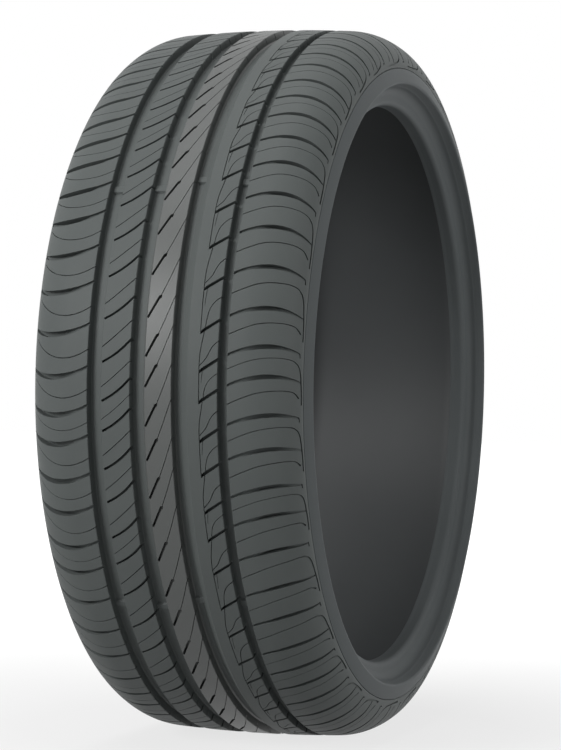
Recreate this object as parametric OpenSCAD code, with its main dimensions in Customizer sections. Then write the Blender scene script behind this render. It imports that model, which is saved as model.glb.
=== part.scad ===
/* [Size] */
// Overall diameter over the tread, unworn
overall_d = 655; // [630:1:720]
// Diameter of the bead seats, as on a 20 inch rim
bead_d = 512.8; // [460:0.2:530]
// Width of the rim between its flanges, 8.5 inches
rim_w = 215.9; // [203.2:12.7:228.6]
// How far each sidewall stands out past the rim's flange face
side_over = 12; // [11:0.5:13.5]
// How far the rim guards, the ridges over the flanges, stand out past the sidewalls
guard_over = 4; // [2:0.5:4.5]

/* [Section] */
// Radius of the crown across the tread
crown_r = 1200; // [1000:50:1600]
// Radius of the shoulders
shoulder_r = 54.5; // [48:0.5:60]
// Tilt of the surface where the shoulder passes into the sidewall
shoulder_turn = 38.42; // [36:0.02:42]
// Thickness of the casing under the tread, with the tread rubber
crown_t = 16.5; // [14:0.5:18]
// Thickness of the sidewalls at their widest place
side_t = 9.5; // [8:0.5:11]
// Radius of the inner surface under the shoulders
under_r = 46; // [36:1:50]
// Width of each bead at its foot
bead_w = 14; // [12:0.5:16]
// How far the widest place stands above the foot that turns in over the rim flange
wall_rise = 5.46; // [4:0.02:8]

/* [Tread] */
// Depth of the four grooves that run round the tread
groove_depth = 7.8; // [6:0.2:8.4]
// How much shallower the slots across the ribs are than those grooves
slot_rise = 2; // [1.4:0.2:3]
// Depth of the shoulder grooves where they meet the tread grooves
tie_depth = 2.4; // [1.6:0.2:3.2]
// Width of the slots
slot_w = 2.1; // [1.7:0.1:2.5]
// Height of the wear bars above the groove floors
bar_h = 1.6; // [1:0.2:2.4]

/* [Hidden] */
$fn = 96;
rubber = [0.27, 0.29, 0.3];

// In these names "a" is a distance from the middle plane, positive on the outer side
outer_r = overall_d / 2;
bead_r = bead_d / 2;
side_a = rim_w / 2 + side_over;

// Foot: it turns in over the rim flange, from a small outer arc to the hollow that holds the flange
flange_h = 17.3;
lip_r = 9.5;
lip = [bead_r + flange_h - lip_r, rim_w / 2 + lip_r];
lip_turn = 15;
foot_r = (side_over - lip_r + lip_r * sin(lip_turn)) / (1 - sin(lip_turn));
foot = [lip[0] + (lip_r + foot_r) * cos(lip_turn), side_a - foot_r];

// Rim guard: a ridge that stands out just over the flange, with a sloped outer face and a steep underside
guard_r = 2.2;
guard = [bead_r + flange_h + 4.3, side_a + guard_over - guard_r];
guard_face = 70;
guard_under = 165;
guard_top = guard + guard_r * [cos(guard_face), sin(guard_face)];
guard_foot = guard + guard_r * [cos(guard_under), sin(guard_under)];
guard_rise = (guard_top[1] - side_a + 1.5) / cos(guard_face);

// Outer contour above it: crown, shoulder arc and sidewall arc run into each other, and the sidewall
// arc takes up what height is left between the tread and the rim
about_tilt = asin((side_a - 44) / crown_r);
wall_height = outer_r - crown_r * (1 - cos(about_tilt)) - foot[0] - wall_rise;
wall_r = (wall_height - shoulder_r * (cos(about_tilt) - cos(shoulder_turn))) / cos(shoulder_turn);
crown_tilt = asin((side_a - shoulder_r * sin(shoulder_turn) - wall_r * (1 - sin(shoulder_turn)))
    / (crown_r - shoulder_r));
crown_a = crown_r * sin(crown_tilt);
shoulder = [
    outer_r - crown_r + (crown_r - shoulder_r) * cos(crown_tilt),
    (crown_r - shoulder_r) * sin(crown_tilt)
];
wall_tilt = shoulder_turn;
wall = shoulder + (shoulder_r - wall_r) * [cos(wall_tilt), sin(wall_tilt)];
side_r = wall[0];
heel_r = 5;
heel = [bead_r + heel_r, rim_w / 2 - heel_r];
seat_w = 4.5;

// Inner contour: flat under the tread, a wide arc under the shoulder, an arc down to the widest place,
// which is as high as the outer one, and a last arc towards the bead's inner face
cavity_r = outer_r - crown_t;
inner_a = side_a - side_t;
toe_a = rim_w / 2 - bead_w;
inner_turn = 50;
inner_top_r = min(under_r, (cavity_r - side_r - 2) / (1 - cos(inner_turn)));
inner_wall_r = (cavity_r - side_r - inner_top_r * (1 - cos(inner_turn))) / cos(inner_turn);
inner_wall = [side_r, inner_a - inner_wall_r];
inner_top = inner_wall + (inner_wall_r - inner_top_r) * [cos(inner_turn), sin(inner_turn)];
inner_foot_r = 14.4;
inner_foot = [side_r, inner_a - inner_foot_r];
foot_turn = 135;
inner_end = [inner_foot[0] + inner_foot_r * cos(foot_turn), inner_foot[1] + inner_foot_r * sin(foot_turn)];

function polar(c, r, t) = [c[0] + r * cos(t), c[1] + r * sin(t)];
function crown_at(a) = outer_r - crown_r + sqrt(crown_r * crown_r - a * a);

// Circumferential grooves: [edge, other edge, run of the first wall, run of the other wall, and how far
// the wear bars are turned on]
grooves = [
    [-58.3, -45.4, 0.9, 2.8, 0],
    [-19.6, -6.4, 0.9, 2.8, 0],
    [17.1, 31.0, 0.9, 7.0, 1.6],
    [57.1, 65.4, 0.8, 1.8, 1.2]
];

// Pitches: the blocks come in four lengths, in the ratio 7 to 8 to 9 to 10, in a run that comes twice
half_run = [
    7, 7, 7, 7, 8, 7, 7, 8, 8, 9, 9, 10, 10, 9, 7, 9, 8,
    9, 7, 9, 10, 9, 10, 8, 7, 8, 8, 8, 8, 9, 10, 9, 10, 9
];
run_n = len(half_run);
function total(k) = k <= 0 ? 0 : half_run[(k - 1) % run_n] + total(k - 1);
unit = 180 / total(run_n);
first_turn = 76.5;
turns = [for (k = [0:2 * run_n - 1]) first_turn - unit * total(k)];
function pitch(k) = half_run[k % run_n] * unit;

// A slice of a disc in the section plane, which gives the contours their true arcs
module pie(c, r, from, to) {
    intersection() {
        translate(c) circle(r);
        polygon([c, polar(c, 2 * r, from), polar(c, 2 * r, (from + to) / 2), polar(c, 2 * r, to)]);
    }
}

module half_section() {
    difference() {
        union() {
            polygon([
                [outer_r, 0],
                [outer_r, 18],
                [crown_at(crown_a - 18.25), crown_a - 18.25],
                for (i = [0:4]) polar(shoulder, shoulder_r, crown_tilt + (wall_tilt - crown_tilt) * i / 4),
                for (i = [1:5]) polar(wall, wall_r, wall_tilt + (90 - wall_tilt) * i / 5),
                [foot[0], side_a],
                polar(foot, foot_r, 180 - lip_turn),
                lip,
                [lip[0], rim_w / 2],
                [heel[0], rim_w / 2],
                [bead_r, heel[1]],
                [bead_r, heel[1] - seat_w],
                [bead_r - 0.7, toe_a + 1],
                [bead_r + 0.6, toe_a],
                [inner_end[0] - (inner_end[1] - toe_a), toe_a],
                for (i = [0:3]) polar(inner_foot, inner_foot_r, foot_turn + (90 - foot_turn) * i / 4),
                for (i = [0:4]) polar(inner_wall, inner_wall_r, 90 + (inner_turn - 90) * i / 5),
                for (i = [0:6]) polar(inner_top, inner_top_r, inner_turn * (1 - i / 6)),
                [cavity_r, 0]
            ]);
            pie(foot, foot_r, 90, 180 - lip_turn);
            pie(heel, heel_r, 90, 180);
            polygon([
                guard_top + guard_rise * [sin(guard_face), -cos(guard_face)],
                guard_top,
                guard_foot,
                guard_foot - 7 * [sin(180 - guard_under), cos(180 - guard_under)],
                foot
            ]);
            pie(guard, guard_r, guard_face, guard_under);
        }
        pie(lip, lip_r, -90, -lip_turn);
    }
}

function floor_at(g) = crown_at((g[0] + g[1]) / 2) - groove_depth;

module groove_section(g) {
    f = floor_at(g);
    polygon([
        [outer_r + 2, g[0]],
        [crown_at(g[0]), g[0]],
        [f + 1.2, g[0] + g[2] * 0.9],
        [f, g[0] + g[2] + 1],
        [f, g[1] - g[3] - 1],
        [f + 1.2, g[1] - g[3] * 0.8],
        [crown_at(g[1]), g[1]],
        [outer_r + 2, g[1]]
    ]);
}

// A section turned through "angle", downwards from one turn
module ring_piece(t, angle) rotate([0, t + 180, 0]) rotate([90, 0, 0]) rotate_extrude(angle = angle) children();

module round_body() {
    rotate([90, 0, 0]) rotate_extrude() difference() {
        union() {
            half_section();
            mirror([0, 1]) half_section();
        }
        for (g = grooves) groove_section(g);
    }
}

// Small bars across the groove floors that show when the tread is worn out
module wear_bars() {
    for (g = grooves) {
        for (t = [30.9, 90.9, 150.9, 210.9, 270.9, 324]) {
            ring_piece(t + g[4], 1.6) polygon([
                [floor_at(g) - 1, g[0]],
                [floor_at(g) + bar_h, g[0]],
                [floor_at(g) + bar_h, g[1]],
                [floor_at(g) - 1, g[1]]
            ]);
        }
    }
}

// Plan view of the tread at one turn: x is "a", y is up along the tread, z is the radius
module at_turn(t) rotate([0, t, 0]) rotate([90, 0, -90]) children();

// A cut of one depth through the crown, from a plan outline that reaches "a"
module crown_cut(a, depth) translate([0, 0, crown_at(a) - depth]) linear_extrude(depth + 4) children();

// Points along an arc from p to q that bows to the left of the way by "sag", in n steps
function arc_points(p, q, sag, n) =
    let (d = q - p, r = (d * d / 4 + sag * sag) / (2 * abs(sag)))
    let (m = [-d[1], d[0]] / norm(d) * sign(sag), c = (p + q) / 2 - m * (r - abs(sag)))
    let (from = atan2(p[1] - c[1], p[0] - c[0]), half = asin(norm(d) / 2 / r))
    [for (i = [0:n]) c + r * [cos(from - sign(sag) * 2 * half * i / n), sin(from - sign(sag) * 2 * half * i / n)]];

// A strip of width w along such an arc
module bow(p, q, sag, w, n = 3) {
    r = norm(q - p);
    m = [-(q - p)[1], (q - p)[0]] / r * w / 2;
    line = arc_points(p, q, sag, n);
    polygon([for (s = line) s + m, for (i = [n:-1:0]) line[i] - m]);
}

// Shoulder grooves: a shallow start beside the tread groove, then a flat floor that leans with the
// shoulder, so that the groove is deepest half way and fades at both ends
function contour(t) = t < wall_tilt ? polar(shoulder, shoulder_r, t) : polar(wall, wall_r, t);

// Plan of a groove along "u", with its crest at 0: its line drops by the square of the distance
module groove_plan(from, to, run_in, run_out, w_from, w_mid, w_to, n) {
    us = [for (i = [0:n]) from + (to - from) * i / n];
    vs = [for (u = us) -u * u / (2 * (u < 0 ? run_in : run_out))];
    hs = [for (u = us) (u < 0 ? w_mid + (w_from - w_mid) * u / from : w_mid + (w_to - w_mid) * u / to) / 2];
    polygon([
        for (i = [0:n]) [us[i], vs[i] + hs[i]],
        for (i = [n:-1:0]) [us[i], vs[i] - hs[i]]
    ]);
}

// The leaning part, between two places on the contour given by their tilts
module shoulder_deep(from, to, crest, run_in, run_out) {
    p = contour(from);
    q = contour(to);
    lean = atan2(p[0] - q[0], q[1] - p[1]);
    long = norm(q - p);
    translate([p[1], 0, p[0]]) rotate([0, lean, 0]) translate([long - crest, 0, 0])
        linear_extrude(14) groove_plan(crest - long, crest, run_in, run_out, 2.6, 3.8, 1.6, 2);
}

// Inner shoulder rib: grooves that sag like a smile
module rib_1_ties(k) {
    at_turn(turns[k] - 10.65) crown_cut(-70, tie_depth) polygon([[-57, 10.4], [-57, 8.2], [-76, 1.2], [-76, 3.4]]);
}

module rib_1_cuts(k) {
    at_turn(turns[k] - 10.65) rotate([0, 0, 180]) shoulder_deep(6, 70, 37, 62, 62);
}

// Second rib from the inner side: long slots that run down from the groove in the middle
module rib_2_cuts(k) {
    at_turn(turns[k] - 5.05) crown_cut(-32, groove_depth - slot_rise)
        bow([-19, 0.3], [-44.3, -18.9], 1.6, slot_w);
}

// Middle rib: short steep dashes
module rib_3_cuts(k) {
    at_turn(turns[k] - 1.77) crown_cut(0, groove_depth - slot_rise) bow([-5.6, 0], [3.9, 18.2], 0.2, slot_w - 0.4, 1);
}

// Fourth rib: slots from the narrow groove that come to a point at the rib's smooth half
module rib_4_cuts(k) {
    at_turn(turns[k] - 2.1) crown_cut(44, groove_depth - slot_rise) polygon([
        [58, 0.6 + slot_w / 2],
        [43.5, -8.4 + slot_w / 2],
        [41.2, -9.4],
        [41.2, -11.6],
        [58, 0.6 - slot_w / 2]
    ]);
}

// Outer shoulder rib: every other groove ends in a small hook, and a long tail runs between the hooks
module rib_5_ties(k) {
    at_turn(turns[k]) crown_cut(75, tie_depth) polygon([[64, -10.6], [64, -8.4], [86, -0.2], [86, -2.4]]);
}

module rib_5_cuts(k) {
    at_turn(turns[k]) shoulder_deep(8, 71, 31, 66, 80);
}

module tails(k) {
    p = contour(76);
    q = contour(71.3);
    ring_piece(turns[k] - 0.37 * pitch(k) - 1.9, 5.8) translate([p[0], p[1] - 1.3]) square([1.5, 6]);
    ring_piece(turns[k] - 0.75, 0.6) translate([q[0], q[1] - 1.4]) square([1.2, 6]);
}

module tyre() {
    color(rubber) difference() {
        union() {
            round_body();
            wear_bars();
        }
        for (k = [0:2 * run_n - 1]) rib_1_ties(k);
        for (k = [0:2 * run_n - 1]) rib_1_cuts(k);
        for (k = [0:2 * run_n - 1]) rib_2_cuts(k);
        for (k = [0:2 * run_n - 1]) rib_3_cuts(k);
        for (k = [0:2 * run_n - 1]) rib_4_cuts(k);
        for (k = [0:2 * run_n - 1]) rib_5_ties(k);
        for (k = [0:2 * run_n - 1]) rib_5_cuts(k);
        for (k = [0:2:2 * run_n - 1]) tails(k);
    }
}

tyre();
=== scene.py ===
import math
import bmesh
import bpy
from mathutils import Matrix, Vector
from mathutils.geometry import delaunay_2d_cdt


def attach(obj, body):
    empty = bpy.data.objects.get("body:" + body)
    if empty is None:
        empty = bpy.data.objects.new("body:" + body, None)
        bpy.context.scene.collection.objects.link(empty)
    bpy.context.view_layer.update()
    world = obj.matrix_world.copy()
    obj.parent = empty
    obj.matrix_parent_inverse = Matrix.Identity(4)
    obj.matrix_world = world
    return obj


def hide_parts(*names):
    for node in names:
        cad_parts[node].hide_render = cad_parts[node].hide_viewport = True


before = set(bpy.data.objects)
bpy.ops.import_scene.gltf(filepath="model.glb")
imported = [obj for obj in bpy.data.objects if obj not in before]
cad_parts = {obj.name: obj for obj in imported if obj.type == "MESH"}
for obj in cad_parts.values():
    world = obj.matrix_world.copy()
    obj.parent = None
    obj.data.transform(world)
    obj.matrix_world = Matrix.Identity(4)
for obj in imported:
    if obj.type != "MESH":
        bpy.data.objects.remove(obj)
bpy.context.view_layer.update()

millimetre = 0.001

# The outer contour, in millimetres: crown, shoulder and wall are three arcs in one smooth chain, and the
# wall gives way to the straight face of the rim guard
tyreShape = {
    "outerRadius": 327.5,
    "crownRadius": 1200.0,
    "crownHalfWidth": 75.95,
    "shoulderRadius": 54.5,
    "sideHalfWidth": 119.95,
    "sideRadius": 285.3,
    "guard": (278.0, 121.75, 2.2),  # radius from the axle, distance from the middle plane, own radius
    "guardFace": 70.0,
    "grooveDepth": 7.8,
    "liftOverFloor": 1.2,  # how far the foot of a groove wall is rounded
}


def contourArcs(shape):
    crown, shoulder = shape["crownRadius"], shape["shoulderRadius"]
    crownTilt = math.asin(shape["crownHalfWidth"] / crown)
    centreRadius = shape["outerRadius"] - crown + (crown - shoulder) * math.cos(crownTilt)
    centreAlong = (crown - shoulder) * math.sin(crownTilt)
    across = shape["sideHalfWidth"] - centreAlong
    down = shape["sideRadius"] - centreRadius
    wall = (across ** 2 + down ** 2 - shoulder ** 2) / (2 * (across - shoulder))
    wallTilt = math.atan2(shape["sideHalfWidth"] - wall - centreAlong, down)
    face = math.radians(shape["guardFace"])
    toGuard = (shape["guard"][0] - shape["sideRadius"]) * math.cos(face)
    toGuard += (shape["guard"][1] - shape["sideHalfWidth"] + wall) * math.sin(face)
    lastTilt = face + math.acos((toGuard + shape["guard"][2]) / wall)
    return (
        (crown, crownTilt * crown),
        (shoulder, (wallTilt - crownTilt) * shoulder),
        (wall, (lastTilt - wallTilt) * wall),
    )


arcs = contourArcs(tyreShape)
faceRun = math.cos(math.radians(tyreShape["guardFace"]))
faceDrop = math.sin(math.radians(tyreShape["guardFace"]))


# A place on the contour: "sigma" runs along it from the middle plane, positive on the outer side
def contour(sigma, height=0.0):
    left, tilt, along, radius = abs(sigma), 0.0, 0.0, tyreShape["outerRadius"]
    for arcRadius, arcLength in arcs:
        nextTilt = tilt + min(left, arcLength) / arcRadius
        along += arcRadius * (math.sin(nextTilt) - math.sin(tilt))
        radius -= arcRadius * (math.cos(tilt) - math.cos(nextTilt))
        left = max(left - arcLength, 0.0)
        tilt = nextTilt
    along += left * faceRun + height * math.sin(tilt)
    radius += height * math.cos(tilt) - left * faceDrop
    return math.copysign(along, sigma), radius


# Straight lines through a few knots, level beyond the first and the last
def between(knots, x):
    if x <= knots[0][0]:
        return knots[0][1]
    for (x0, y0), (x1, y1) in zip(knots, knots[1:]):
        if x <= x1:
            return y0 + (y1 - y0) * (x - x0) / (x1 - x0)
    return knots[-1][1]


# A smooth curve through a few points, cut into steps of about the given length
def smoothCurve(points, step):
    vectors = [Vector(p) for p in points]
    ends = [vectors[0] * 2 - vectors[1]] + vectors + [vectors[-1] * 2 - vectors[-2]]
    line = []
    for p0, p1, p2, p3 in zip(ends, ends[1:], ends[2:], ends[3:]):
        count = max(1, round((p2 - p1).length / step))
        for i in range(count):
            t = i / count
            line.append(0.5 * (2 * p1 + (p2 - p0) * t + (2 * p0 - 5 * p1 + 4 * p2 - p3) * t * t
                               + (3 * p1 - p0 - 3 * p2 + p3) * t ** 3))
    return line + [vectors[-1]]


# The outline of a cut that follows a curve; each point of the curve holds sigma, v and the width
def ribbonOutline(points, step=3.0):
    line = smoothCurve(points, step)
    left, right = [], []
    for i, point in enumerate(line):
        way = (line[min(i + 1, len(line) - 1)] - line[max(i - 1, 0)]).xy.normalized()
        side = Vector((-way.y, way.x)) * point.z / 2
        left.append(point.xy + side)
        right.append(point.xy - side)
    return left + right[::-1]


def insideOutline(outline, x, v):
    inside = False
    for (x0, v0), (x1, v1) in zip(outline, outline[1:] + outline[:1]):
        if (v0 > v) != (v1 > v) and x < x0 + (x1 - x0) * (v - v0) / (v1 - v0):
            inside = not inside
    return inside


def distanceToOutline(outline, x, v):
    best = 1e9
    for (x0, v0), (x1, v1) in zip(outline, outline[1:] + outline[:1]):
        dx, dv = x1 - x0, v1 - v0
        t = max(0.0, min(1.0, ((x - x0) * dx + (v - v0) * dv) / max(dx * dx + dv * dv, 1e-9)))
        best = min(best, math.hypot(x0 + dx * t - x, v0 + dv * t - v))
    return best


# The pitches: blocks of four lengths, 7 to 8 to 9 to 10, in a run that comes twice round the tyre
pitchRun = {
    "halfRun": (7, 7, 7, 7, 8, 7, 7, 8, 8, 9, 9, 10, 10, 9, 7, 9, 8,
                9, 7, 9, 10, 9, 10, 8, 7, 8, 8, 8, 8, 9, 10, 9, 10, 9),
    "firstTurn": 76.5,
    "modelled": 28.9,  # length in millimetres of one pitch of a flat block, before it is stretched
}


def pitchPoints(run):
    lengths = run["halfRun"] * 2
    perUnit = 360.0 / sum(lengths)
    onTread = math.radians(perUnit) * tyreShape["outerRadius"]
    points, turn = [], run["firstTurn"]
    for first, second in zip(lengths[::2], lengths[1::2]):
        points.append((turn, first * onTread - run["modelled"], second * onTread - run["modelled"]))
        turn -= (first + second) * perUnit
    return points


# One block of a rib, flat: two pitches long, cut from above, with an underside and open ends
def flatBlock(name, plan):
    pitch, above = pitchRun["modelled"], plan["above"]
    steps = 2 * plan["columns"]
    drop = 2 * pitch / steps
    knotColumns = [round(x, 2) for x, height in plan["profile"]]
    columns = sorted(set(knotColumns + [round(x, 2) for x in plan["extraColumns"]]))
    crest = [(x, round(between(plan["crest"], x) + above, 2)) for x in columns]

    def crestAt(x):
        return between(crest, x)

    cuts = []
    for cut in plan["cuts"]:
        outline = cut["outline"] if "outline" in cut else ribbonOutline(cut["path"], cut.get("step", 3.0))
        for shift in cut["at"]:
            for wrap in (-2 * pitch, 0.0, 2 * pitch):
                moved = [(round(x, 2), round(v + shift + wrap, 2)) for x, v in outline]
                inside = [crestAt(x) - 2 * pitch - 1 < v < crestAt(x) + 1 for x, v in moved]
                if any(inside):
                    cuts.append((moved, cut["depth"]))

    points, edges = [], []

    def lattice(x, j):
        return (x, round(crestAt(x) - j * drop, 2))

    index = {}
    for x in columns:
        for j in range(steps + 1):
            spot = lattice(x, j)
            onKnot = x in knotColumns or j in (0, steps)
            if onKnot or all(distanceToOutline(outline, *spot) > 0.7 for outline, depth in cuts):
                index[x, j] = len(points)
                points.append(spot)
    for x in knotColumns:
        edges += [(index[x, j], index[x, j + 1]) for j in range(steps)]
    for x0, x1 in zip(columns, columns[1:]):
        edges += [(index[x0, 0], index[x1, 0]), (index[x0, steps], index[x1, steps])]
    for outline, depth in cuts:
        start = len(points)
        points += outline
        edges += [(start + i, start + (i + 1) % len(outline)) for i in range(len(outline))]

    found, foundEdges, triangles = delaunay_2d_cdt([Vector(p) for p in points], edges, [], 0, 0.002)[:3]
    flat = [(round(p.x, 4), round(p.y, 4)) for p in found]

    def heightAt(x, level):
        land = between(plan["profile"], x)
        return land if level < 0 else min(land, -between(cuts[level][1], x))

    levels = {}
    for number, triangle in enumerate(triangles):
        x = sum(flat[i][0] for i in triangle) / 3
        v = sum(flat[i][1] for i in triangle) / 3
        if not columns[0] < x < columns[-1] or not crestAt(x) - 2 * pitch < v < crestAt(x):
            continue
        level, deepest = -1, between(plan["profile"], x)
        for i, (outline, depth) in enumerate(cuts):
            if insideOutline(outline, x, v) and -between(depth, x) < deepest - 1e-6:
                level, deepest = i, -between(depth, x)
        levels[number] = level

    vertices, lookup = [], {}

    def place(x, v, height):
        key = (round(x, 3), round(v, 3), round(height, 3))
        if key not in lookup:
            lookup[key] = len(vertices)
            vertices.append(key)
        return lookup[key]

    faces, beside, stacks = [], {}, {}
    for number, level in levels.items():
        triangle = triangles[number]
        area = sum(flat[a][0] * flat[b][1] - flat[b][0] * flat[a][1]
                   for a, b in zip(triangle, triangle[1:] + triangle[:1]))
        if area < 0:
            triangle = triangle[::-1]
        corners = [place(*flat[i], heightAt(flat[i][0], level)) for i in triangle]
        faces.append(corners)
        for a, b in zip(triangle, triangle[1:] + triangle[:1]):
            beside[a, b] = level
            stacks.setdefault(a, set()).add(round(heightAt(flat[a][0], level), 3))
    for (a, b), level in beside.items():
        other = beside.get((b, a), level)
        if other == level:
            continue
        high = (heightAt(flat[a][0], level), heightAt(flat[b][0], level))
        low = (heightAt(flat[a][0], other), heightAt(flat[b][0], other))
        if sum(high) <= sum(low):
            continue
        wall = [(flat[b], high[1]), (flat[a], high[0])]
        wall += [(flat[a], h) for h in sorted(stacks[a], reverse=True) if low[0] + 1e-3 < h < high[0] - 1e-3]
        wall += [(flat[a], low[0]), (flat[b], low[1])]
        wall += [(flat[b], h) for h in sorted(stacks[b]) if low[1] + 1e-3 < h < high[1] - 1e-3]
        corners = []
        for spot, h in wall:
            corner = place(*spot, h)
            if corner not in corners:
                corners.append(corner)
        if len(corners) > 2:
            faces.append(corners)

    under = [round(x, 2) for x, height in plan["underside"]]
    for j in range(steps):
        rows = []
        for k in (j, j + 1):
            rows.append([place(*lattice(x, k), height) for x, height in plan["underside"]])
        faces += [[rows[0][i], rows[0][i + 1], rows[1][i + 1], rows[1][i]] for i in range(len(under) - 1)]
        for x, end, turned in ((columns[0], 0, False), (columns[-1], -1, True)):
            top = [place(*lattice(x, k), heightAt(x, -1)) for k in (j, j + 1)]
            side = [top[0], rows[0][end], rows[1][end], top[1]]
            faces.append(side[::-1] if turned else side)

    mesh = bpy.data.meshes.new(name)
    mesh.from_pydata(vertices, [], faces)
    shares = ([], [])
    rigid = plan.get("rigid", 2.5)
    for x, v, height in vertices:
        below = crestAt(x) - above - v
        for number, share in enumerate(shares):
            part = (below - number * pitch - rigid) / (pitch - above - rigid)
            share.append(max(0.0, min(1.0, part)))
    for label, share in zip(("firstShare", "secondShare"), shares):
        mesh.attributes.new(label, "FLOAT", "POINT").data.foreach_set("value", share)
    return mesh


# Small helpers for node trees
def addNode(tree, kind, inputs=None, **settings):
    node = tree.nodes.new(kind)
    for key, value in settings.items():
        setattr(node, key, value)
    for key, value in (inputs or {}).items():
        if isinstance(value, bpy.types.NodeSocket):
            tree.links.new(value, node.inputs[key])
        else:
            node.inputs[key].default_value = value
    return node


def calculate(tree, operation, *values):
    return addNode(tree, "ShaderNodeMath", dict(enumerate(values)), operation=operation).outputs[0]


# The tree that sets flat blocks round the tyre: it copies one to each pair of pitches, stretches it to
# their lengths, and bends it along the contour and round the axle
def wrapTree():
    tree = bpy.data.node_groups.new("wrapRound", "GeometryNodeTree")
    sockets = (
        ("Geometry", "NodeSocketGeometry"), ("Block", "NodeSocketObject"), ("Rubber", "NodeSocketMaterial"),
        ("Phase", "NodeSocketFloat"), ("Outer radius", "NodeSocketFloat"),
        ("Crown radius", "NodeSocketFloat"), ("Crown length", "NodeSocketFloat"),
        ("Shoulder radius", "NodeSocketFloat"), ("Shoulder length", "NodeSocketFloat"),
        ("Wall radius", "NodeSocketFloat"), ("Wall length", "NodeSocketFloat"),
        ("Face run", "NodeSocketFloat"), ("Face drop", "NodeSocketFloat"), ("Scale", "NodeSocketFloat"),
    )
    for label, kind in sockets:
        tree.interface.new_socket(label, in_out="INPUT", socket_type=kind)
    tree.interface.new_socket("Geometry", in_out="OUTPUT", socket_type="NodeSocketGeometry")
    given = tree.nodes.new("NodeGroupInput").outputs
    block = addNode(tree, "GeometryNodeObjectInfo", {"Object": given["Block"]}, transform_space="ORIGINAL")
    copies = addNode(tree, "GeometryNodeInstanceOnPoints",
                     {"Points": given["Geometry"], "Instance": block.outputs["Geometry"]})
    realized = addNode(tree, "GeometryNodeRealizeInstances", {"Geometry": copies.outputs["Instances"]})

    def named(label):
        return addNode(tree, "GeometryNodeInputNamedAttribute", {"Name": label}, data_type="FLOAT").outputs[0]

    def do(operation, *values):
        return calculate(tree, operation, *values)

    position = tree.nodes.new("GeometryNodeInputPosition").outputs[0]
    place = addNode(tree, "ShaderNodeSeparateXYZ", {0: position})
    sigma, height = place.outputs[0], place.outputs[2]
    stretch = do("MULTIPLY_ADD", named("firstShare"), named("firstExtra"),
                 do("MULTIPLY", named("secondShare"), named("secondExtra")))
    upTread = do("SUBTRACT", place.outputs[1], stretch)
    turn = do("RADIANS", do("ADD", named("turn"), given["Phase"]))
    angle = do("ADD", turn, do("DIVIDE", upTread, given["Outer radius"]))

    distance = do("ABSOLUTE", sigma)
    tilts = [do("DIVIDE", do("MINIMUM", distance, given["Crown length"]), given["Crown radius"])]
    pastCrown = do("MAXIMUM", do("SUBTRACT", distance, given["Crown length"]), 0.0)
    onShoulder = do("MINIMUM", pastCrown, given["Shoulder length"])
    tilts.append(do("ADD", tilts[0], do("DIVIDE", onShoulder, given["Shoulder radius"])))
    pastShoulder = do("SUBTRACT", pastCrown, onShoulder)
    onWall = do("MINIMUM", pastShoulder, given["Wall length"])
    onFace = do("SUBTRACT", pastShoulder, onWall)
    tilts.append(do("ADD", tilts[1], do("DIVIDE", onWall, given["Wall radius"])))
    sines = [do("SINE", tilt) for tilt in tilts]
    cosines = [do("COSINE", tilt) for tilt in tilts]
    along = do("MULTIPLY", height, sines[2])
    radius = do("MULTIPLY_ADD", height, cosines[2], given["Outer radius"])
    lastSine, lastCosine = 0.0, 1.0
    for label, sine, cosine in zip(("Crown", "Shoulder", "Wall"), sines, cosines):
        arcRadius = given[label + " radius"]
        along = do("MULTIPLY_ADD", arcRadius, do("SUBTRACT", sine, lastSine), along)
        radius = do("MULTIPLY_ADD", arcRadius, do("SUBTRACT", cosine, lastCosine), radius)
        lastSine, lastCosine = sine, cosine
    along = do("MULTIPLY_ADD", onFace, given["Face run"], along)
    radius = do("SUBTRACT", radius, do("MULTIPLY", onFace, given["Face drop"]))
    across = do("MULTIPLY", along, do("SIGN", sigma))
    wrapped = addNode(tree, "ShaderNodeCombineXYZ", {
        0: do("MULTIPLY", radius, do("MULTIPLY", do("COSINE", angle), -1.0)),
        1: do("MULTIPLY", across, -1.0),
        2: do("MULTIPLY", radius, do("SINE", angle)),
    })
    scaled = addNode(tree, "ShaderNodeVectorMath", {0: wrapped.outputs[0], "Scale": given["Scale"]},
                     operation="SCALE")
    moved = addNode(tree, "GeometryNodeSetPosition",
                    {"Geometry": realized.outputs[0], "Position": scaled.outputs["Vector"]})
    joined = addNode(tree, "GeometryNodeMergeByDistance", {"Geometry": moved.outputs[0], "Distance": 0.00002})
    coated = addNode(tree, "GeometryNodeSetMaterial",
                     {"Geometry": joined.outputs[0], "Material": given["Rubber"]})
    result = tree.nodes.new("NodeGroupOutput")
    tree.links.new(coated.outputs[0], result.inputs[0])
    return tree


wrapper = wrapTree()


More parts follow.
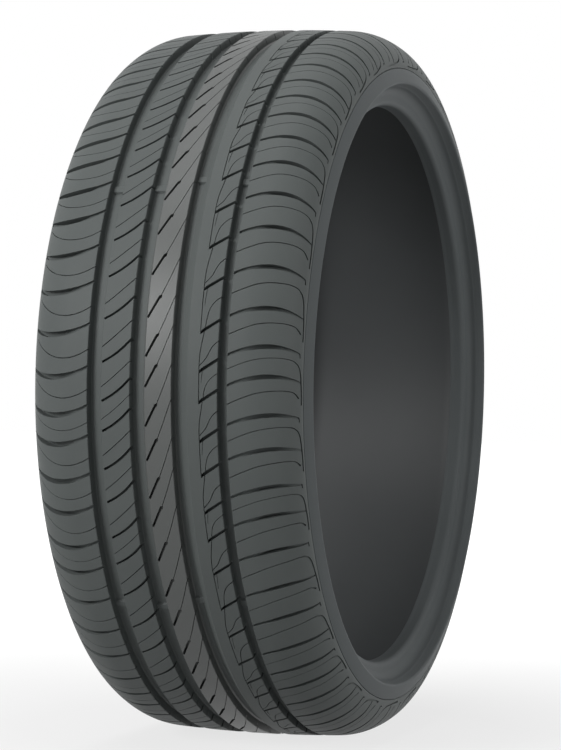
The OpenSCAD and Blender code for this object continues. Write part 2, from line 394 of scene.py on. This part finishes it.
def setRound(name, blockMesh, points, phase, material):
    block = bpy.data.objects.new(name + "Block", blockMesh)
    bpy.context.collection.objects.link(block)
    base = bpy.data.meshes.new(name + "Points")
    base.from_pydata([(0, 0, 0)] * len(points), [], [])
    for number, label in enumerate(("turn", "firstExtra", "secondExtra")):
        values = [point[number] for point in points]
        base.attributes.new(label, "FLOAT", "POINT").data.foreach_set("value", values)
    piece = bpy.data.objects.new(name, base)
    bpy.context.collection.objects.link(piece)
    modifier = piece.modifiers.new("wrap", "NODES")
    modifier.node_group = wrapper
    given = {
        "Block": block, "Rubber": material, "Phase": phase,
        "Outer radius": tyreShape["outerRadius"],
        "Crown radius": arcs[0][0], "Crown length": arcs[0][1],
        "Shoulder radius": arcs[1][0], "Shoulder length": arcs[1][1],
        "Wall radius": arcs[2][0], "Wall length": arcs[2][1],
        "Face run": faceRun, "Face drop": faceDrop, "Scale": millimetre,
    }
    for socket in wrapper.interface.items_tree:
        if socket.in_out == "INPUT" and socket.name in given:
            modifier[socket.identifier] = given[socket.name]
    evaluated = piece.evaluated_get(bpy.context.evaluated_depsgraph_get())
    mesh = bpy.data.meshes.new_from_object(evaluated)
    piece.modifiers.clear()
    piece.data = mesh
    bpy.data.objects.remove(block)
    for label in [a.name for a in mesh.attributes if a.name.endswith(("Share", "Extra", "turn"))]:
        mesh.attributes.remove(mesh.attributes[label])
    return finishMesh(piece)


def finishMesh(piece, sharpDegrees=32.0):
    mesh = piece.data
    mesh.shade_smooth()
    mesh.set_sharp_from_angle(angle=math.radians(sharpDegrees))
    bm = bmesh.new()
    bm.from_mesh(mesh)
    openEdges = sum(1 for edge in bm.edges if len(edge.link_faces) != 2)
    print(piece.name, len(bm.verts), "vertices", sum(len(f.verts) - 2 for f in bm.faces), "triangles",
          openEdges, "open edges")
    bm.free()
    return piece


# Rubber: a soft grey-black with faint cloudy patches and a fine grain
rubberLooks = {
    "treadRubber": {"dark": (0.094, 0.104, 0.103), "light": (0.124, 0.136, 0.133), "roughness": 0.52,
                    "shine": 0.13, "grain": 900.0, "grainDepth": 0.00008},
    "centreRubber": {"dark": (0.092, 0.098, 0.096), "light": (0.116, 0.122, 0.119), "roughness": 0.4,
                     "shine": 0.36, "grain": 900.0, "grainDepth": 0.00005},
    "wallRubber": {"dark": (0.090, 0.100, 0.102), "light": (0.114, 0.125, 0.128), "roughness": 0.55,
                   "shine": 0.14, "grain": 1300.0, "grainDepth": 0.00005},
    "linerRubber": {"dark": (0.050, 0.054, 0.056), "light": (0.066, 0.070, 0.072), "roughness": 0.5,
                    "shine": 0.25, "grain": 500.0, "grainDepth": 0.00006},
}


def rubberMaterial(name, look):
    material = bpy.data.materials.new(name)
    material.use_nodes = True
    tree = material.node_tree
    surface = tree.nodes["Principled BSDF"]
    surface.inputs["Specular IOR Level"].default_value = look["shine"]
    place = tree.nodes.new("ShaderNodeTexCoord").outputs["Object"]
    clouds = addNode(tree, "ShaderNodeTexNoise",
                     {"Vector": place, "Scale": 9.0, "Detail": 4.0, "Roughness": 0.6})
    tint = addNode(tree, "ShaderNodeMix", {0: clouds.outputs["Fac"], 6: (*look["dark"], 1.0),
                                           7: (*look["light"], 1.0)}, data_type="RGBA")
    tree.links.new(tint.outputs[2], surface.inputs["Base Color"])
    grain = addNode(tree, "ShaderNodeTexNoise",
                    {"Vector": place, "Scale": look["grain"], "Detail": 3.0, "Roughness": 0.7})
    dull = addNode(tree, "ShaderNodeMapRange", {
        "Value": grain.outputs["Fac"],
        "To Min": look["roughness"] - 0.06, "To Max": look["roughness"] + 0.06})
    tree.links.new(dull.outputs[0], surface.inputs["Roughness"])
    bump = addNode(tree, "ShaderNodeBump", {
        "Height": grain.outputs["Fac"], "Strength": 0.6, "Distance": look["grainDepth"]})
    tree.links.new(bump.outputs[0], surface.inputs["Normal"])
    return material


treadRubber = rubberMaterial("treadRubber", rubberLooks["treadRubber"])
centreRubber = rubberMaterial("centreRubber", rubberLooks["centreRubber"])
wallRubber = rubberMaterial("wallRubber", rubberLooks["wallRubber"])
linerRubber = rubberMaterial("linerRubber", rubberLooks["linerRubber"])

allPitches = pitchPoints(pitchRun)
pitch = pitchRun["modelled"]
floorHeight = -tyreShape["grooveDepth"] - 0.1  # the foot of a rib lies just under the groove floor
slotDepth = [(0, 5.8)]
sipeDepth = [(0, 3.6)]


# The cross profile of a rib: two walls that stand in grooves, each with a small worn edge on top
def ribProfile(innerEdge, innerRun, outerEdge, outerRun):
    return [
        (innerEdge - innerRun - 1.0, floorHeight),
        (innerEdge - innerRun * 0.9, floorHeight + tyreShape["liftOverFloor"]),
        (innerEdge, -0.35),
        (innerEdge + 0.35, 0.0),
        (outerEdge - 0.35, 0.0),
        (outerEdge, -0.35),
        (outerEdge + outerRun * 0.9, floorHeight + tyreShape["liftOverFloor"]),
        (outerEdge + outerRun + 1.0, floorHeight),
    ]


def evenColumns(start, stop, count):
    return [start + (stop - start) * i / count for i in range(1, count)]


# Second rib from the inner side: long slots that run down from the groove in the middle
secondRib = {
    "profile": ribProfile(-45.4, 2.8, -19.6, 0.9),
    "crest": [(-49, -21.5), (-44.6, -18.9), (-37.6, -15.1), (-31.1, -10.7), (-25.1, -5.7), (-19.6, 0),
              (-17, 2)],
    "above": 6.0,
    "columns": 6,
    "extraColumns": evenColumns(-45, -20, 5),
    "underside": [(-49.2, -9.4), (-17.7, -9.4)],
    "cuts": [
        {"path": [(-18.8, 0.8, 2.1), (-25.1, -5.7, 2.1), (-31.1, -10.7, 2.1), (-37.6, -15.1, 2.0),
                  (-44.6, -18.9, 2.0)], "depth": slotDepth, "at": (0, -pitch)},
        {"path": [(-19.1, 0.5, 0.6), (-25.5, -5.6, 0.6), (-32.1, -11.3, 0.6), (-39.0, -16.9, 0.6),
                  (-46.3, -22.2, 0.6)], "depth": sipeDepth, "at": (-0.54 * pitch, -1.54 * pitch)},
    ],
}

# Middle rib: short steep dashes, each with a thin cut that runs on to the wide groove
middleRib = {
    "profile": ribProfile(-6.4, 2.8, 17.1, 0.9),
    "crest": [(-10.2, -8.8), (-5.6, 0), (3.9, 18.2), (8.6, 28), (12.1, 37), (17.1, 51), (19.0, 56.3)],
    "above": 6.0,
    "columns": 6,
    "extraColumns": evenColumns(-6, 17, 6),
    "underside": [(-10.2, -9.4), (19.0, -9.4)],
    "cuts": [
        {"path": [(-5.7, -0.2, 2.0), (3.9, 18.2, 2.2)], "step": 5.0, "depth": slotDepth, "at": (0, -pitch)},
        {"outline": [(3.4, 15.6), (4.9, 16.4), (5.6, 18.9), (3.6, 18.9)],
         "depth": [(0, 4.0)], "at": (0, -pitch)},
        {"path": [(4.6, 18.6, 0.6), (8.6, 28, 0.6), (12.1, 37, 0.6), (17.1, 51, 0.6), (17.6, 52.4, 0.6)],
         "step": 4.0, "depth": sipeDepth, "at": (0, -pitch)},
    ],
}

# Fourth rib: slots from the narrow groove that come to a point, joined by fine curved lines
fourthRib = {
    "profile": ribProfile(31.0, 7.0, 57.1, 0.8),
    "crest": [(23, -11), (41.2, -11), (57.1, 0), (58.9, 1.2)],
    "above": 5.0,
    "columns": 6,
    "extraColumns": evenColumns(31.4, 56.8, 7),
    "underside": [(23.0, -9.4), (58.9, -9.4)],
    "cuts": [
        {"outline": [(57.75, 2.0), (43.5, -6.95), (41.2, -9.2), (41.2, -11.8), (57.75, -0.9)],
         "depth": slotDepth, "at": (0, -pitch)},
        {"path": [(41.4, -11.0, 0.7), (41.4, -10.0 - pitch, 0.7)], "depth": [(0, 1.3)], "at": (0,)},
        {"path": [(44.5, -8.0, 0.5), (43.8, -15.0, 0.5), (43.3, -21.0, 0.4)],
         "depth": [(0, 0.8)], "at": (0,)},
        {"path": [(57.5, -12.9, 0.6), (52.9, -16.1, 0.6), (48.6, -21.3, 0.6), (46.4, -27.5, 0.6),
                  (45.2, -35.2, 0.6)], "depth": sipeDepth, "at": (0,)},
        {"path": [(44.8, -8.0, 0.7), (44.0, -13.3, 0.7), (42.6, -20.4, 0.7), (41.7, -26.0, 0.7),
                  (41.4, -32.0, 0.7), (41.4, -10.0 - pitch, 0.7)], "depth": [(0, 1.3)], "at": (-pitch,)},
        {"path": [(57.5, -14.8, 0.6), (52.9, -18.7, 0.6), (50.0, -23.0, 0.6), (47.2, -28.2, 0.6),
                  (43.6, -32.1, 0.6), (41.6, -34.1, 0.6)], "depth": sipeDepth, "at": (-pitch,)},
    ],
}

# The shoulders' ends: an edge that stands in the fine line where the rim guard begins
wallEnd = [(135.5, 0.0), (135.9, -0.1), (136.1, -0.5)]
wallUnderside = [(68, -10.0), (80, -10.0), (90, -10.0), (100, -10.0), (108, -10.0), (115, -10.0), (121, -8.0),
                 (128, -5.5), (136.1, -3.8)]
casingCover = [(66, 9.0), (115, 9.0), (121, 7.0), (128, 4.5), (136, 3.0)]

# Outer shoulder: every other groove ends in a small hook, and a long tail runs between the hooks
outerGroove = [(64.2, -8.3, 2.3), (72.9, -4.8, 2.6), (81.4, -2.5, 3.4), (90.0, -0.9, 3.9), (97.0, -0.1, 4.0),
               (104.0, 0.0, 3.8), (110.0, -0.3, 3.3), (118.6, -1.7, 2.6), (125.0, -3.1, 2.0)]
outerSipe = [(64.6, -11.2, 0.6), (71.4, -8.1, 0.6), (78.6, -5.3, 0.6), (87.1, -2.4, 0.6), (95.7, -0.7, 0.6),
             (104.3, 0.0, 0.6), (112.9, 0.0, 0.6), (119.0, -0.8, 0.7)]
outerSipeAt = -0.37 * pitch
outerGrooveDepth = [(64, 2.4), (80, 2.4), (84, 3.8), (89, 5.8), (98, 6.6), (105, 6.0), (111, 4.2), (119, 2.4),
                    (127, 1.4), (131, 1.0)]
outerSipeDepth = [(64, 3.2), (110, 3.0), (120, 2.0), (126, 1.4), (132, 1.2)]
outerShoulder = {
    "profile": [(62.6, floorHeight), (63.8, floorHeight + 1.2), (65.4, -0.35), (65.8, 0.0)] + wallEnd,
    "crest": [(62.6, -9.3), (65.4, -7.9), (72.9, -4.8), (81.4, -2.5), (90.0, -0.9), (97.0, -0.1),
              (104.0, 0.0), (110.0, -0.3), (118.6, -1.7), (130.0, -4.6), (141.3, -6.0)],
    "above": 5.0,
    "columns": 7,
    "extraColumns": evenColumns(66, 135.5, 22),
    "underside": [(62.6, -9.4)] + wallUnderside,
    "cuts": [
        {"path": outerGroove + [(129.4, -4.4, 1.7)], "depth": outerGrooveDepth, "at": (0,)},
        {"path": [(129.4, -3.9, 1.3), (129.9, -8.2, 1.2)], "depth": [(0, 1.2)], "at": (0,)},
        {"path": outerGroove + [(131.4, -5.0, 1.7)], "depth": outerGrooveDepth, "at": (-pitch,)},
        {"path": outerSipe + [(123.5, -2.2, 0.9), (127.0, -4.9, 1.3), (129.6, -9.0, 1.5), (131.0, -14.5, 1.6),
                              (132.0, -22.0, 1.7), (132.7, -31.0, 1.7), (132.8, -41.0, 1.7)],
         "depth": outerSipeDepth, "at": (outerSipeAt,)},
        {"path": outerSipe + [(123.5, -2.0, 0.8), (126.5, -4.2, 1.3), (129.2, -6.6, 1.3)],
         "depth": outerSipeDepth, "at": (outerSipeAt - pitch,)},
    ],
}


# Inner shoulder: grooves that sag like a smile
def smile(lowest, bend, places, width):
    return [(-s, (s - lowest) ** 2 / (2 * bend), between(width, s)) for s in places]


innerWidth = [(56, 2.4), (66, 2.8), (76, 4.2), (90, 4.8), (104, 4.6), (118, 3.0), (129, 1.6)]
innerShoulder = {
    "profile": [(-s, h) for s, h in reversed([(56.4, floorHeight), (57.5, floorHeight + 1.2), (58.3, -0.35),
                                              (58.65, 0.0)] + wallEnd)],
    "crest": [(-s, v) for s, v in reversed([
        (56.4, 9.9), (64.3, 6.0), (71.4, 3.3), (78.6, 1.4), (86, 0.3), (92, 0.0),
        (98, 0.3), (105, 1.3), (112, 3.1), (120, 6.1), (130, 9.0), (141.3, 9.0)])],
    "above": 6.0,
    "columns": 7,
    "extraColumns": [-s for s in evenColumns(59, 135.5, 24)],
    "underside": [(-s, h) for s, h in reversed([(56.4, -9.4)] + wallUnderside)],
    "cuts": [
        {"path": smile(92, 64, (57.4, 64, 71, 78, 85, 92, 99, 106, 113, 120, 128), innerWidth),
         "depth": [(-129, 1.0), (-122, 2.2), (-114, 4.2), (-106, 6.0), (-98, 6.6), (-84, 6.2), (-76, 4.2),
                   (-71, 2.5), (-57, 2.4)], "at": (0, -pitch)},
        {"path": smile(83, 40, (57.7, 64, 71, 77, 83, 89, 95, 101, 107, 112, 116), [(50, 0.6), (120, 0.6)]),
         "depth": [(-116, 1.2), (-108, 3.0), (-57, 3.2)], "at": (-0.53 * pitch, -1.53 * pitch)},
    ],
}

ribs = (
    ("innerShoulder", innerShoulder, -10.65, treadRubber),
    ("secondRib", secondRib, -5.05, treadRubber),
    ("middleRib", middleRib, -1.77, centreRubber),
    ("fourthRib", fourthRib, -2.1, treadRubber),
    ("outerShoulder", outerShoulder, 0.0, treadRubber),
)
pieces = []
for ribName, ribPlan, ribPhase, ribRubber in ribs:
    piece = setRound(ribName, flatBlock(ribName + "Block", ribPlan), allPitches, ribPhase, ribRubber)
    pieces.append(piece)
print("ribs done")

# Wear bars across the groove floors, six times round
wearBars = {
    "grooves": ((-58.0, -46.5, 0.0), (-19.3, -7.6, 0.0), (17.4, 28.5, 9.0), (57.3, 64.6, 7.0)),
    "turns": (30.9, 90.9, 150.9, 210.9, 270.9, 324.0),
    "long": 9.4,
    "height": 1.7,
    "slope": 2.2,
}


def barsBlock(bars):
    vertices, faces = [], []
    foot, top = floorHeight - 0.6, -tyreShape["grooveDepth"] + bars["height"]
    slope, long = bars["slope"], bars["long"]
    for low, high, shift in bars["grooves"]:
        start = len(vertices)
        for v, height in ((0, foot), (-slope, top), (slope - long, top), (-long, foot)):
            vertices += [(low, v + shift, height), (high, v + shift, height)]
        for i in (0, 2, 4, 6):
            a, b = start + i, start + (i + 2) % 8
            faces.append((a, b, b + 1, a + 1))
        faces += [(start, start + 6, start + 4, start + 2), (start + 1, start + 3, start + 5, start + 7)]
    mesh = bpy.data.meshes.new("wearBarBlock")
    mesh.from_pydata(vertices, [], faces)
    for label in ("firstShare", "secondShare"):
        mesh.attributes.new(label, "FLOAT", "POINT")
    return mesh


barPoints = [(turn, 0.0, 0.0) for turn in wearBars["turns"]]
pieces.append(setRound("wearBars", barsBlock(wearBars), barPoints, 0.0, treadRubber))
print("wear bars done")

# The casing: groove floors, rim guards, the feet over the rim flanges, bead seats and the inner liner,
# turned round
casing = {
    "steps": 288,
    "guardUnder": 165,
    "foot": (279.84, 113.26, 6.69),
    "footFrom": 142.4,
    "lip": (264.2, 117.45, 9.5),
    "lipTurn": 15,
    "heel": (261.4, 102.95, 5.0),
    "underFoot": (285.3, 96.05, 14.4),
    "underShoulder": (265.0, 71.84, 46.0),
    "liner": 311.0,
}


def arcRound(centre, start, stop, count):
    radius, along, size = centre
    turns = [math.radians(start + (stop - start) * i / count) for i in range(count + 1)]
    return [(along + size * math.sin(t), radius + size * math.cos(t)) for t in turns]


def casingHalf(shape):
    floor = [contour(s, -tyreShape["grooveDepth"]) for s in (8, 16, 24, 32, 40, 48, 56, 62, 66)]
    underBlocks = (67, 74, 80, 86, 92, 98, 104, 110, 115, 121, 128, 135.6)
    covered = [contour(s, -between(casingCover, s)) for s in underBlocks]
    skin = [contour(s, h) for s, h in ((136.4, -2.6), (136.45, -0.5), (136.7, -0.1), (137.2, 0), (142.9, 0))]
    skin += arcRound(tyreShape["guard"], tyreShape["guardFace"], shape["guardUnder"], 7)
    skin += arcRound(shape["foot"], shape["footFrom"], 180 - shape["lipTurn"], 3)
    skin += arcRound(shape["lip"], -shape["lipTurn"], -90, 9)
    skin += arcRound(shape["heel"], 90, 180, 6)
    skin += [(98.45, 256.4), (97.2, 256.25), (95.6, 255.85), (94.7, 255.85), (94.1, 256.3), (93.95, 257.0)]
    inner = [(93.95, 261.4), (94.15, 262.7), (94.9, 263.8), (98.0, 266.9)]
    inner += arcRound(shape["underFoot"], 135, 50, 8)
    inner += arcRound(shape["underShoulder"], 48, 0, 10)
    inner += [(a, shape["liner"]) for a in (54, 36, 18)]
    return floor, covered, skin, inner


def casingPiece(shape, materials):
    floor, covered, skin, inner = casingHalf(shape)
    half = [(p, 0) for p in floor + covered] + [(p, 1) for p in skin] + [(p, 2) for p in inner]
    grooveFloor = tyreShape["outerRadius"] - tyreShape["grooveDepth"]
    ring = [((0.0, grooveFloor), 0)] + half + [((0.0, shape["liner"]), 2)]
    ring += [((-a, r), kind) for (a, r), kind in reversed(half)]
    steps, count = shape["steps"], len(ring)
    vertices, faces, kinds = [], [], []
    for i in range(steps):
        angle = 2 * math.pi * i / steps
        for (a, r), kind in ring:
            spot = Vector((-r * math.cos(angle), -a, r * math.sin(angle)))
            vertices.append(spot * millimetre)
    for i in range(steps):
        for j in range(count):
            k, n = (j + 1) % count, (i + 1) % steps
            faces.append((i * count + j, i * count + k, n * count + k, n * count + j))
            kinds.append(max(ring[j][1], ring[k][1]))
    mesh = bpy.data.meshes.new("casing")
    mesh.from_pydata(vertices, [], faces)
    for material in materials:
        mesh.materials.append(material)
    mesh.polygons.foreach_set("material_index", kinds)
    piece = bpy.data.objects.new("casing", mesh)
    bpy.context.collection.objects.link(piece)
    bm = bmesh.new()
    bm.from_mesh(mesh)
    bmesh.ops.recalc_face_normals(bm, faces=bm.faces)
    bm.to_mesh(mesh)
    bm.free()
    return finishMesh(piece)


pieces.append(casingPiece(casing, (treadRubber, wallRubber, linerRubber)))
print("casing done")

for piece in pieces:
    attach(piece, "root")
    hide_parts("tyre")

# Floor, world, lamps and camera
studio = {
    "floorSize": 12.0,
    "floorNear": (0.4, 0.6),  # distance from the tyre's middle, share of plain white in the floor there
    "floorFar": (1.5, 1.0),
    "floorGlow": 1.25,
    "worldStrength": 0.05,
    "lampDistance": 3.0,
    "lamps": (  # name, degrees from the front towards the inner side, degrees up, power, size
        ("frontLamp", 28, 18, 47.0, 1.0),
        ("highLamp", 19, 60, 20.0, 1.2),
        ("topLamp", 10, 86, 22.0, 1.4),
        ("sideLamp", -84, 10, 28.0, 1.2),
    ),
}


def seenRay(tree):
    ray = tree.nodes.new("ShaderNodeLightPath").outputs
    seen = calculate(tree, "MAXIMUM", ray["Is Camera Ray"], ray["Is Glossy Ray"])
    return calculate(tree, "MAXIMUM", seen, ray["Is Transmission Ray"])


def makeFloor(values):
    size, low = values["floorSize"], -tyreShape["outerRadius"] * millimetre
    mesh = bpy.data.meshes.new("floor")
    corners = [(-size, -size, low), (size, -size, low), (size, size, low), (-size, size, low)]
    mesh.from_pydata(corners, [], [(0, 1, 2, 3)])
    floor = bpy.data.objects.new("floor", mesh)
    bpy.context.collection.objects.link(floor)
    material = bpy.data.materials.new("paleFloor")
    material.use_nodes = True
    tree = material.node_tree
    matt = tree.nodes["Principled BSDF"]
    matt.inputs["Base Color"].default_value = (0.45, 0.45, 0.45, 1.0)
    matt.inputs["Roughness"].default_value = 0.9
    glow = addNode(tree, "ShaderNodeEmission",
                   {"Color": (1.0, 1.0, 1.0, 1.0), "Strength": values["floorGlow"]})
    place = tree.nodes.new("ShaderNodeTexCoord").outputs["Object"]
    away = addNode(tree, "ShaderNodeVectorMath", {0: place}, operation="LENGTH").outputs["Value"]
    whiter = addNode(tree, "ShaderNodeMapRange", {
        "Value": away, "From Min": values["floorNear"][0], "From Max": values["floorFar"][0],
        "To Min": values["floorNear"][1], "To Max": values["floorFar"][1]}).outputs[0]
    share = calculate(tree, "MULTIPLY", seenRay(tree), whiter)
    both = addNode(tree, "ShaderNodeMixShader", {0: share, 1: matt.outputs[0], 2: glow.outputs[0]})
    tree.links.new(both.outputs[0], tree.nodes["Material Output"].inputs["Surface"])
    mesh.materials.append(material)


def makeWorld(values):
    world = bpy.data.worlds.new("studio")
    world.use_nodes = True
    tree = world.node_tree
    soft = tree.nodes["Background"]
    soft.inputs["Color"].default_value = (1.0, 1.0, 1.0, 1.0)
    soft.inputs["Strength"].default_value = values["worldStrength"]
    white = addNode(tree, "ShaderNodeBackground", {"Color": (1.0, 1.0, 1.0, 1.0), "Strength": 1.0})
    both = addNode(tree, "ShaderNodeMixShader", {0: seenRay(tree), 1: soft.outputs[0], 2: white.outputs[0]})
    tree.links.new(both.outputs[0], tree.nodes["World Output"].inputs["Surface"])
    bpy.context.scene.world = world


def makeLamp(name, around, up, power, size):
    a, e = math.radians(around), math.radians(up)
    direction = Vector((-math.cos(a) * math.cos(e), math.sin(a) * math.cos(e), math.sin(e)))
    place = studio["lampDistance"] * direction
    lamp = bpy.data.lights.new(name, "AREA")
    lamp.energy = power
    lamp.size = size
    holder = bpy.data.objects.new(name, lamp)
    holder.location = place
    holder.rotation_euler = (-place).to_track_quat("-Z", "Y").to_euler()
    bpy.context.collection.objects.link(holder)


makeFloor(studio)
makeWorld(studio)
for lampValues in studio["lamps"]:
    makeLamp(*lampValues)

viewpoint = {
    "place": (-2.33535, -0.80591, 0.0),
    "heading": 19.058,
    "rise": 0.1504,
    "roll": 1.0018,
    "lens": 126.172,
}


def makeCamera(values):
    heading, rise, roll = (math.radians(values[key]) for key in ("heading", "rise", "roll"))
    forward = Vector((math.cos(heading) * math.cos(rise), math.sin(heading) * math.cos(rise), math.sin(rise)))
    level = forward.cross(Vector((0, 0, 1))).normalized()
    right = Matrix.Rotation(-roll, 3, forward) @ level
    up = right.cross(forward)
    camera = bpy.data.cameras.new("camera")
    camera.lens = values["lens"]
    camera.sensor_width = 36.0
    holder = bpy.data.objects.new("camera", camera)
    facing = Matrix((right, up, -forward)).transposed().to_4x4()
    holder.matrix_world = Matrix.Translation(values["place"]) @ facing
    bpy.context.collection.objects.link(holder)
    bpy.context.scene.camera = holder
    print("camera right", [round(c, 5) for c in right], "up", [round(c, 5) for c in up])


makeCamera(viewpoint)
bpy.context.scene.view_settings.view_transform = "Standard"
